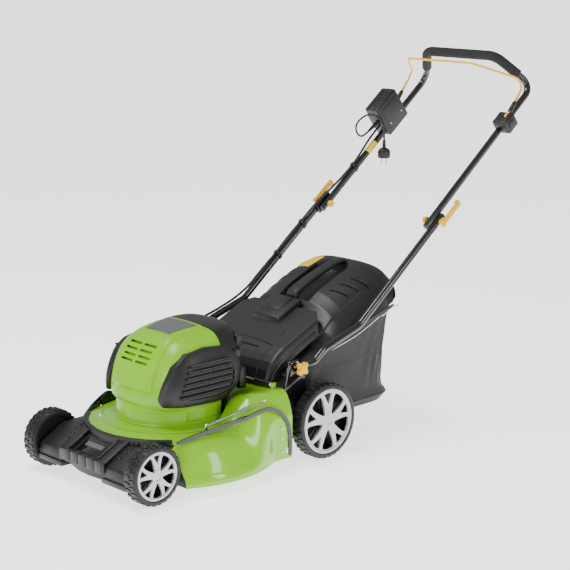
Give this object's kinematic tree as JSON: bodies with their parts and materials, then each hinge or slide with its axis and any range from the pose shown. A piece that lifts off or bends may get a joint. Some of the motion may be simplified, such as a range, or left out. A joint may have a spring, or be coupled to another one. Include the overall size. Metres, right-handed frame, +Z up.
{
  "type": "push lawn mower",
  "caption": "Corded electric push lawn mower: pressed deck, motor hood, front bumper frame, rear flap, hinged-off grass catcher and a folding handle with a squeeze bail.",
  "frame": {"origin": "on the ground, below the middle of the whole mower's length and width", "axes": "+Z up; -Y towards the front of the mower, +Y towards the person pushing it; +X to the mower's left side"},
  "size_m": [0.564, 1.5211, 1.0295],
  "materials": {
    "lime_paint": "gloss lime-green enamel on pressed steel",
    "lime_plastic": "gloss lime-green moulded plastic",
    "dark_plastic": "dark grey fine-grained moulded plastic",
    "black_plastic": "black moulded plastic",
    "yellow_plastic": "satin yellow moulded plastic",
    "yellow_wire": "yellow powder-coated steel rod",
    "silver_trim": "silver-painted plastic",
    "black_tube": "black powder-coated steel tube",
    "zinc_steel": "zinc-plated steel",
    "spring_steel": "bright spring wire",
    "foam": "black closed-cell foam",
    "cable_sheath": "black flexible cable sheath",
    "bag_fabric": "black open-weave polyester on a wire frame",
    "motor_steel": "laminated steel and copper windings"
  },
  "bodies": {
    "deck": {"deck_shell": "lime_paint", "deck_rivets": "zinc_steel", "edging_left": "black_plastic", "edging_right": "black_plastic", "front_frame": "dark_plastic", "hood_front": "lime_plastic", "hood_rear": "black_plastic", "hood_cover_left": "dark_plastic", "hood_cover_right": "dark_plastic", "motor_can": "black_tube", "height_quadrant": "dark_plastic", "link_spring": "spring_steel", "flap_hinge_rod": "zinc_steel", "flap_springs": "spring_steel", "handle_bracket_left": "black_tube", "handle_bracket_right": "black_tube", "motor_cable_tail": "cable_sheath", "cable_gland": "black_plastic"},
    "rotor": {"motor_shaft": "zinc_steel", "motor_rotor": "motor_steel", "cooling_fan": "black_plastic", "blade_adapter": "zinc_steel", "blade": "zinc_steel", "blade_bolt": "zinc_steel"},
    "front_axle": {"front_axle": "zinc_steel"},
    "rear_axle": {"rear_axle": "zinc_steel"},
    "front_wheel_left": {"front_wheel_left": "black_plastic", "front_trim_left": "silver_trim"},
    "front_wheel_right": {"front_wheel_right": "black_plastic", "front_trim_right": "silver_trim"},
    "rear_wheel_left": {"rear_wheel_left": "black_plastic", "rear_trim_left": "silver_trim"},
    "rear_wheel_right": {"rear_wheel_right": "black_plastic", "rear_trim_right": "silver_trim"},
    "height_lever": {"height_lever": "zinc_steel"},
    "height_link": {"height_link": "black_tube"},
    "flap": {"rear_flap": "dark_plastic"},
    "catcher": {"catcher_bag": "bag_fabric", "catcher_lid": "dark_plastic"},
    "lower_handle": {"lower_tube_left": "black_tube", "lower_tube_right": "black_tube", "clamp_saddles": "black_plastic", "clamp_bolts": "yellow_plastic", "motor_cable_lower": "cable_sheath", "cable_clips_lower": "black_plastic"},
    "star_knob_left": {"star_knob_left": "yellow_plastic"},
    "star_knob_right": {"star_knob_right": "yellow_plastic"},
    "upper_handle": {"upper_tube": "black_tube", "foam_grip": "foam", "switch_box": "dark_plastic", "pivot_box": "dark_plastic", "motor_cable_upper": "cable_sheath", "cable_clips_upper": "black_plastic", "strain_relief": "black_plastic", "plug_cord": "cable_sheath", "plug": "black_plastic"},
    "cam_lever_left": {"cam_lever_left": "yellow_plastic"},
    "cam_lever_right": {"cam_lever_right": "yellow_plastic"},
    "bail": {"bail_bar": "yellow_wire"},
    "start_button": {"start_button": "yellow_plastic"}
  },
  "joints": [
    {"name": "blade_spin", "type": "hinge", "parent": "deck", "child": "rotor", "pos_m": [0, -0.45456, 0.2], "axis": [0, 0, 1], "continuous": true},
    {"name": "rear_height", "type": "hinge", "parent": "deck", "child": "rear_axle", "pos_m": [0, -0.17097, 0.0833], "axis": [1, 0, 0], "range_deg": [-50, 0]},
    {"name": "front_height", "type": "hinge", "parent": "deck", "child": "front_axle", "pos_m": [0, -0.73097, 0.0573], "axis": [1, 0, 0], "range_deg": [-50, 0]},
    {"name": "front_wheel_left_roll", "type": "hinge", "parent": "front_axle", "child": "front_wheel_left", "pos_m": [0.211, -0.68457, 0.076], "axis": [1, 0, 0], "continuous": true},
    {"name": "front_wheel_right_roll", "type": "hinge", "parent": "front_axle", "child": "front_wheel_right", "pos_m": [-0.211, -0.68457, 0.076], "axis": [1, 0, 0], "continuous": true},
    {"name": "rear_wheel_left_roll", "type": "hinge", "parent": "rear_axle", "child": "rear_wheel_left", "pos_m": [0.239, -0.12456, 0.102], "axis": [1, 0, 0], "continuous": true},
    {"name": "rear_wheel_right_roll", "type": "hinge", "parent": "rear_axle", "child": "rear_wheel_right", "pos_m": [-0.239, -0.12456, 0.102], "axis": [1, 0, 0], "continuous": true},
    {"name": "height_lever_swing", "type": "hinge", "parent": "deck", "child": "height_lever", "pos_m": [-0.207, -0.49657, 0.146], "axis": [1, 0, 0], "range_deg": [-50, 0]},
    {"name": "height_link_slide", "type": "slide", "parent": "deck", "child": "height_link", "axis": [0.1858, 0.9677, 0.1703], "range_m": [0, 0.0301]},
    {"name": "flap_lift", "type": "hinge", "parent": "deck", "child": "flap", "pos_m": [0, -0.25457, 0.212], "axis": [1, 0, 0], "range_deg": [0, 45], "stiffness_Nm_per_rad": 0.5, "springref_deg": -34.38},
    {"name": "catcher_lift_off", "type": "slide", "parent": "deck", "child": "catcher", "axis": [0, 0.9701, 0.2425], "range_m": [0, 0.25]},
    {"name": "lower_handle_fold", "type": "hinge", "parent": "deck", "child": "lower_handle", "pos_m": [0, -0.21257, 0.262], "axis": [1, 0, 0], "range_deg": [0, 110], "deforming": ["motor_cable_tail"]},
    {"name": "upper_handle_fold", "type": "hinge", "parent": "lower_handle", "child": "upper_handle", "pos_m": [0, 0.32743, 0.579], "axis": [1, 0, 0], "range_deg": [0, 85], "deforming": ["motor_cable_upper", "motor_cable_lower"]},
    {"name": "star_knob_left_turn", "type": "hinge", "parent": "lower_handle", "child": "star_knob_left", "pos_m": [0.247, -0.21257, 0.262], "axis": [1, 0, 0], "range_deg": [0, 720]},
    {"name": "star_knob_right_turn", "type": "hinge", "parent": "lower_handle", "child": "star_knob_right", "pos_m": [-0.247, -0.21257, 0.262], "axis": [-1, 0, 0], "range_deg": [0, 720]},
    {"name": "cam_lever_left_open", "type": "hinge", "parent": "lower_handle", "child": "cam_lever_left", "pos_m": [0.251, 0.32743, 0.579], "axis": [0, 0.6198, -0.7848], "range_deg": [0, 100]},
    {"name": "cam_lever_right_open", "type": "hinge", "parent": "lower_handle", "child": "cam_lever_right", "pos_m": [-0.251, 0.32743, 0.579], "axis": [0, -0.6198, 0.7848], "range_deg": [0, 100]},
    {"name": "bail_squeeze", "type": "hinge", "parent": "upper_handle", "child": "bail", "pos_m": [0, 0.63523, 0.84757], "axis": [1, 0, 0], "range_deg": [-21, 0], "stiffness_Nm_per_rad": 0.8, "springref_deg": 34.38},
    {"name": "start_button_press", "type": "slide", "parent": "upper_handle", "child": "start_button", "axis": [0, -0.7848, -0.6198], "range_m": [0, 0.004], "stiffness_N_per_m": 400, "springref_m": -0.004}
  ],
  "couplings": [
    {"joint": "front_height", "follows": "rear_height", "ratio": 1},
    {"joint": "height_lever_swing", "follows": "rear_height", "ratio": 1},
    {"joint": "height_link_slide", "follows": "rear_height", "m_per_rad": -0.0344}
  ]
}
